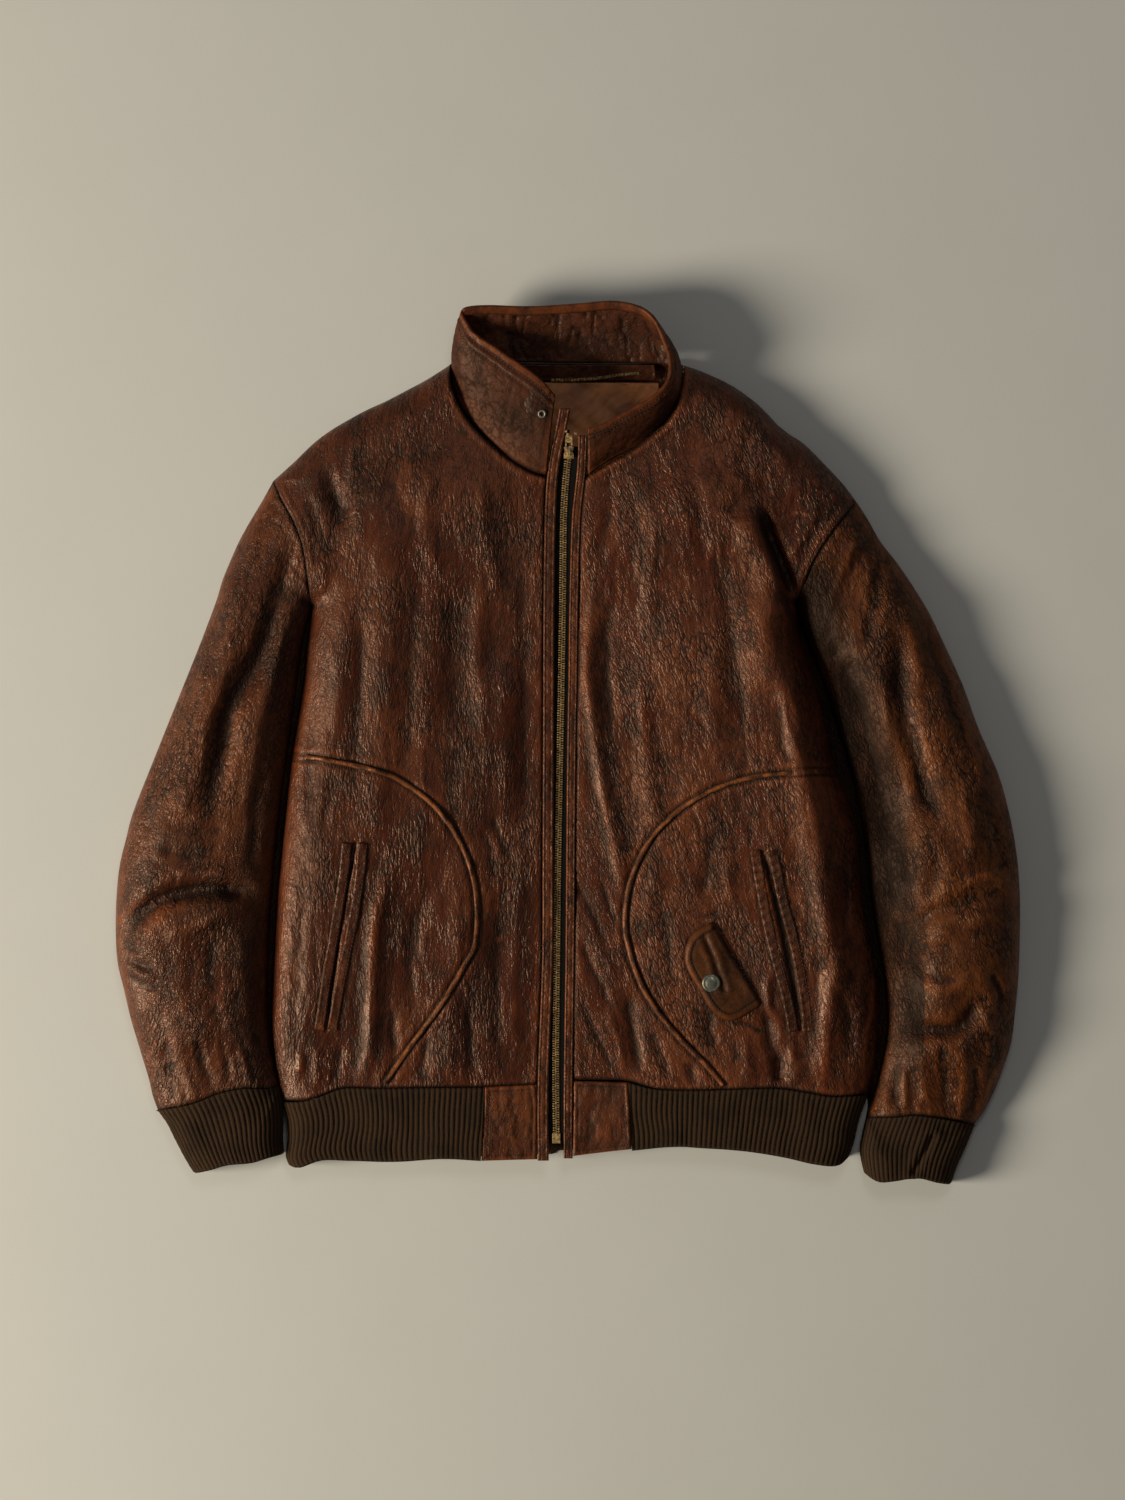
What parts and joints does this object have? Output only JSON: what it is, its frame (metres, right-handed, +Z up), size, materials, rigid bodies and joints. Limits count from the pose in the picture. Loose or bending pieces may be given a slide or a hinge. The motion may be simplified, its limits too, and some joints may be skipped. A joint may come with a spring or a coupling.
{
  "type": "worn leather jacket laid flat",
  "caption": "Worn zip-front leather jacket laid flat: stand collar, curved piping over welt pockets, small snap flap, ribbed hem and cuffs.",
  "frame": {"origin": "centre of the jacket's outline, on the surface it lies on", "axes": "+X towards the wearer's left sleeve, +Y from hem to collar, +Z up from the surface"},
  "size_m": [0.7897, 0.7688, 0.06],
  "materials": {
    "leather": "worn semi-gloss, rubbed at the seams",
    "leather_rubbed": "rubbed satin",
    "leather_tan": "smooth satin",
    "leather_dark": "dull, creased",
    "rib_knit": "ribbed knit",
    "zip_tape": "woven tape",
    "brass_aged": "aged brass",
    "snap_metal": "aged nickel over brass",
    "satin": "satin lining"
  },
  "bodies": {
    "garment": {"front_right": "leather", "front_left": "leather", "back": "leather", "sleeve_right": "leather", "sleeve_left": "leather", "hem_tab_right": "leather", "hem_tab_left": "leather", "zip_strip_right": "leather", "zip_strip_left": "leather", "welt_right_outer": "leather", "welt_right_inner": "leather", "welt_left_outer": "leather", "welt_left_inner": "leather", "collar": "leather", "piping_right": "leather_rubbed", "piping_left": "leather_rubbed", "coin_flap": "leather_tan", "collar_facing": "leather_dark", "neck_band": "leather_dark", "hem_rib": "rib_knit", "cuff_right": "rib_knit", "cuff_left": "rib_knit", "zip_tape_right": "zip_tape", "zip_tape_left": "zip_tape", "zip_chain": "brass_aged", "zip_slider": "brass_aged", "flap_snap": "snap_metal", "collar_snap": "snap_metal", "neck_lining": "satin"},
    "zip_pull": {"zip_pull": "brass_aged"}
  },
  "joints": [
    {"name": "zip_pull_hinge", "type": "hinge", "parent": "garment", "child": "zip_pull", "pos_m": [0.0007, 0.25455, 0.04603], "axis": [1, 0, 0], "range_deg": [0, 160]}
  ]
}
